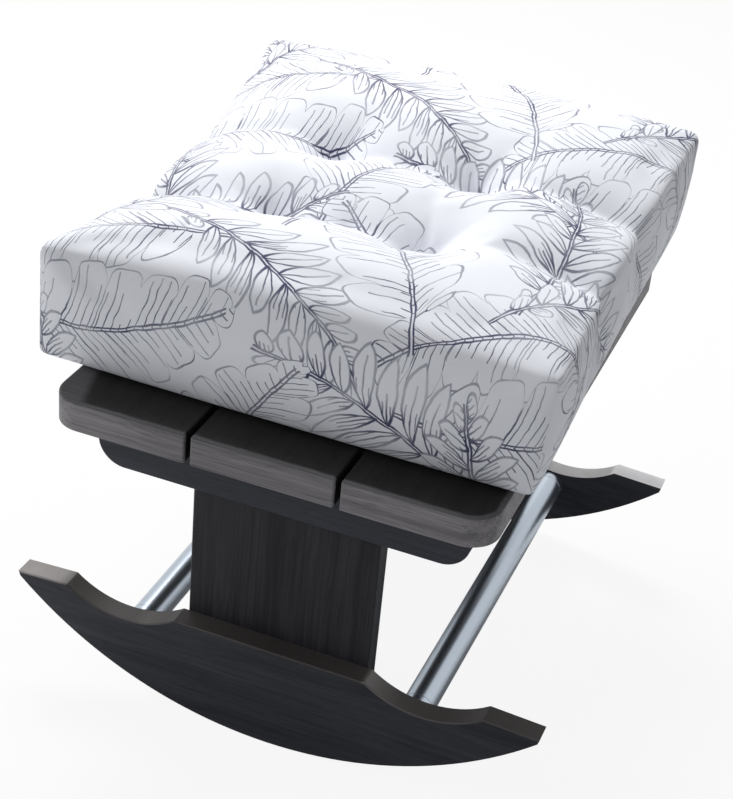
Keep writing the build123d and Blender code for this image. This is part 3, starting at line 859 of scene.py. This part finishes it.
threads = tree.nodes.new("ShaderNodeTexWave")
threads.inputs["Scale"].default_value = threads_per_metre
tree.links.new(cloth_place, threads.inputs["Vector"])
relief(tree, shader, threads.outputs["Fac"], 0.1, 0.0003)
case.data.materials.append(cotton_material)
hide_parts("cushion_cover", "cushion_filling")
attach(case, "cushion")

# ---- Tuft threads ----
# A doubled strand of waxed thread pulls the top down to the underside at each tuft. It ends in
# a crossed stitch on both sides of the cushion.

thread_width, stitch_span, stitch_rise = 0.0020, 0.0065, 0.0014
strand_share, strand_off = 0.4, 0.45  # a strand's radius and its place, against the thread's width
stitch_turns = ((35, 1.0), (125, 1.5))  # the second stitch lies over the first
case_tree = BVHTree.FromObject(case, bpy.context.evaluated_depsgraph_get())


def fresh(name):
    """Names the piece just made."""
    made = bpy.context.object
    made.name = made.data.name = name
    return made


def outward_faces():
    """Turns the active piece's faces outwards."""
    bpy.ops.object.mode_set(mode="EDIT")
    bpy.ops.mesh.select_all(action="SELECT")
    bpy.ops.mesh.normals_make_consistent(inside=False)
    bpy.ops.object.mode_set(mode="OBJECT")


def join(parts, name, angle):
    """Joins the parts into one piece, smooth over edges up to the angle in degrees."""
    deselect()
    for part in parts:
        part.select_set(True)
    bpy.context.view_layer.objects.active = parts[0]
    bpy.ops.object.join()
    bpy.ops.object.shade_smooth_by_angle(angle=radians(angle))
    return fresh(name)


deselect()
bpy.ops.mesh.primitive_circle_add(
    vertices=8, radius=thread_width / 2, fill_type="NGON", location=(-stitch_span / 2, 0, 0),
)
stitch = fresh("stitch")
bpy.ops.object.transform_apply(location=True)
bpy.ops.object.mode_set(mode="EDIT")
bpy.ops.mesh.select_all(action="SELECT")
bpy.ops.mesh.spin(steps=8, angle=pi, center=(0, 0, 0), axis=(0, 1, 0))
bpy.ops.mesh.select_all(action="SELECT")
bpy.ops.mesh.remove_doubles(threshold=0.00001)
bpy.ops.object.mode_set(mode="OBJECT")
outward_faces()
stitch_form = stitch.data
bpy.data.objects.remove(stitch)
thread_parts = []
for tuft_x in tuft_columns:
    for tuft_y in tuft_rows:
        top = case_tree.ray_cast(Vector((tuft_x, tuft_y, seat_top + 0.3)), Vector((0, 0, -1)))[0]
        foot = case_tree.ray_cast(Vector((tuft_x, tuft_y, seat_top - 0.05)), Vector((0, 0, 1)))[0]
        for place, flip in ((top, 1), (foot, -1)):
            for turn, height in stitch_turns:
                part = bpy.data.objects.new("thread_stitch", stitch_form.copy())
                scene.collection.objects.link(part)
                squashed = Matrix.Diagonal((1, 1, stitch_rise / (stitch_span / 2) * flip * height, 1))
                turned = Matrix.Translation(place) @ Matrix.Rotation(radians(turn), 4, "Z")
                part.data.transform(turned @ squashed)
                if flip < 0:
                    part.data.flip_normals()
                thread_parts.append(part)
        for side in (-1, 1):
            deselect()
            bpy.ops.mesh.primitive_cylinder_add(
                vertices=8, radius=thread_width * strand_share, depth=top.z - foot.z, end_fill_type="NGON",
                location=(tuft_x + side * thread_width * strand_off, tuft_y, (top.z + foot.z) / 2),
            )
            bpy.ops.object.transform_apply(location=True, rotation=True, scale=True)
            thread_parts.append(fresh("thread_strand"))
bpy.data.meshes.remove(stitch_form)
threads = join(thread_parts, "tuft_stitches", 50)

thread_material, tree, shader = new_material("waxed_thread")
twist = tree.nodes.new("ShaderNodeTexWave")
twist.bands_direction = "DIAGONAL"
twist.inputs["Scale"].default_value = 420.0
tree.links.new(place_in(tree)[0], twist.inputs["Vector"])
spun = tint(tree, twist.outputs["Fac"], (0.62, 0.62, 0.64), (0.80, 0.80, 0.81))
tree.links.new(spun, shader.inputs["Base Color"])
relief(tree, shader, twist.outputs["Fac"], 0.5, 0.0002)
shader.inputs["Roughness"].default_value = 0.6
threads.data.materials.append(thread_material)
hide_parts("tuft_threads")
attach(threads, "cushion")

# ---- Zip ----
# A nylon coil zip across the back of the case: a woven tape sewn into the cloth, the coil along
# its middle, a stop at each end, and a slider with its pull.

zip_middle = (Vector(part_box("cushion_zip")[0]) + Vector(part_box("cushion_zip")[1])) / 2
zip_length, tape_width, coil_width = 0.400, 0.0115, 0.0042
tape_thickness, zip_lift, hem_sink = 0.0006, 0.0005, 0.0004
coil_step, coil_thread, coil_lean, coil_shift = 0.0016, 0.0013, 9, 0.0004
coil_seat = zip_lift + tape_thickness + 0.0003


def case_back(x, z):
    """The point of the case's back face at x and z, and its outward normal."""
    return case_tree.ray_cast(Vector((x, zip_middle.y + 0.1, z)), Vector((0, -1, 0)))[:2]


deselect()
bpy.ops.mesh.primitive_grid_add(x_subdivisions=100, y_subdivisions=4, size=1.0)
tape = fresh("zip_tape")
for corner in tape.data.vertices:
    place, normal = case_back(
        zip_middle.x + corner.co.x * zip_length, zip_middle.z + corner.co.y * tape_width,
    )
    corner.co = place + normal * (zip_lift - (hem_sink if abs(corner.co.y) > 0.45 else 0))
thick = tape.modifiers.new("thick", "SOLIDIFY")
thick.thickness = tape_thickness
thick.offset = 1.0
bpy.ops.object.modifier_apply(modifier="thick")
outward_faces()
zip_parts = [tape]

deselect()
bpy.ops.mesh.primitive_cylinder_add(vertices=6, radius=0.5, depth=1.0, end_fill_type="NGON")
tooth_form = fresh("zip_tooth").data
bpy.data.objects.remove(bpy.context.object)
beside = Vector((1, 0, 0))
for step in range(int(zip_length / coil_step) - 6):
    turn = 1 if step % 2 else -1
    x = zip_middle.x - zip_length / 2 + (step + 3.5) * coil_step
    place, normal = case_back(x, zip_middle.z)
    upward = normal.cross(beside).normalized()
    part = bpy.data.objects.new("zip_tooth", tooth_form.copy())
    scene.collection.objects.link(part)
    axes = Matrix((beside, normal.cross(upward).normalized() * -1, upward)).transposed().to_4x4()
    lean = Matrix.Rotation(radians(coil_lean * turn), 4, "Y")
    stretch = Matrix.Diagonal((coil_step * 0.8, coil_thread, coil_width, 1))
    middle = place + normal * coil_seat + upward * (coil_shift * turn)
    part.data.transform(Matrix.Translation(middle) @ axes @ lean @ stretch)
    zip_parts.append(part)
bpy.data.meshes.remove(tooth_form)

slider_size, bridge_size = (0.0095, 0.0028, 0.0078), (0.0060, 0.0016, 0.0022)
pull_size, stop_size = (0.0170, 0.0011, 0.0048), (0.0022, 0.0016, 0.0060)
slider_x = -zip_length / 2 + 0.016  # from the zip's middle
stop_x = zip_length / 2 - 0.003
metal_parts = []
for name, x, size, lift, bevel in (
    # name, along the zip, size, above the tape, bevel
    ("zip_slider", slider_x, slider_size, 0, 0.0008),
    ("zip_bridge", slider_x, bridge_size, slider_size[1], 0.0006),
    ("zip_pull", slider_x + 0.0105, pull_size, 0.0022, 0.0004),
    ("zip_stop", -stop_x, stop_size, 0, 0.0004),
    ("zip_stop", stop_x, stop_size, 0, 0.0004),
):
    deselect()
    bpy.ops.mesh.primitive_cube_add(size=1.0)
    metal_parts.append(fresh(name))
    bpy.ops.object.mode_set(mode="EDIT")
    bpy.ops.mesh.select_all(action="SELECT")
    bpy.ops.transform.resize(value=size)
    bpy.ops.mesh.bevel(offset=bevel, segments=3, affect="EDGES")
    bpy.ops.object.mode_set(mode="OBJECT")
    place, normal = case_back(zip_middle.x + x, zip_middle.z)
    seat = zip_lift + tape_thickness + lift + size[1] / 2
    metal_parts[-1].data.transform(Matrix.Translation(place + normal * seat))

tape_material, tree, shader = new_material("zip_weave")
weave = noise(tree, place_in(tree)[0], 1.0, 1.0, stretch=(1400, 400, 900))
tree.links.new(tint(tree, weave, (0.66, 0.665, 0.69), (0.82, 0.825, 0.85)), shader.inputs["Base Color"])
relief(tree, shader, weave, 0.4, 0.0002)
shader.inputs["Roughness"].default_value = 0.75
for parts, name, finish, slot in (
    (zip_parts, "cushion_zipper", tape_material, "zip_tape"),
    (metal_parts, "zip_fittings", zinc_material, "zinc_steel"),
):
    joined = join(parts, name, 40)
    joined.data.materials.append(finish)
    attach(joined, "cushion")
    if slot == "zip_tape":
        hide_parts("cushion_zip")
